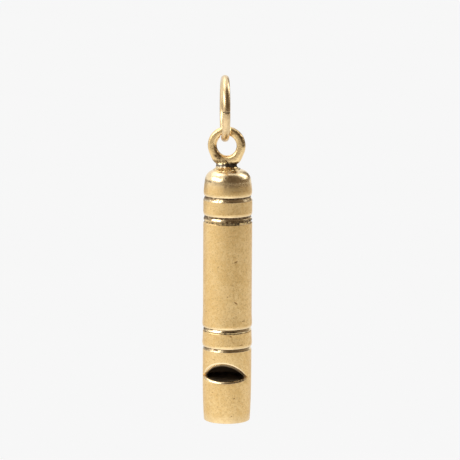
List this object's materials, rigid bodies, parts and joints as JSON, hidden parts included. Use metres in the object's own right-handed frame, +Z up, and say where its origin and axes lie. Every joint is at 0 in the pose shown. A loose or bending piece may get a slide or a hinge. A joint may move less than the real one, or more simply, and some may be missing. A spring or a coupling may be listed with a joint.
{
  "type": "whistle pendant",
  "caption": "Slim cylindrical end-blown whistle with a domed top, turned grooves, a curved window, a soldered eye and a loose jump ring.",
  "frame": {"origin": "centre of the jump ring's loop, where a chain or cord passes", "axes": "+Z up along the pipe from the mouth to the ring; -Y is the side with the window; +X to the right when facing the window"},
  "size_m": [0.0072, 0.0092, 0.0499],
  "materials": {
    "ring_gold": "polished yellow gold, worn bright where ring and eye rub",
    "body_gold": "satin yellow gold with fine handling scratches",
    "dull_gold": "unpolished inner metal, darkened",
    "solder": "pale gold solder, dark in its pits"
  },
  "bodies": {
    "ring": {"jump_ring": "ring_gold", "jump_ring_solder": "solder"},
    "whistle": {"suspension_eye": "ring_gold", "eye_solder": "solder", "end_cap": "body_gold", "cap_seam_solder": "solder", "barrel_tube": "body_gold", "mouth_seam_solder": "solder", "mouthpiece": "body_gold", "windway_block": "dull_gold"}
  },
  "joints": [
    {"name": "whistle_swing", "type": "hinge", "parent": "ring", "child": "whistle", "pos_m": [0, 0, -0.00322], "axis": [0.9703, 0.2419, 0], "range_deg": [-82, 82]}
  ]
}
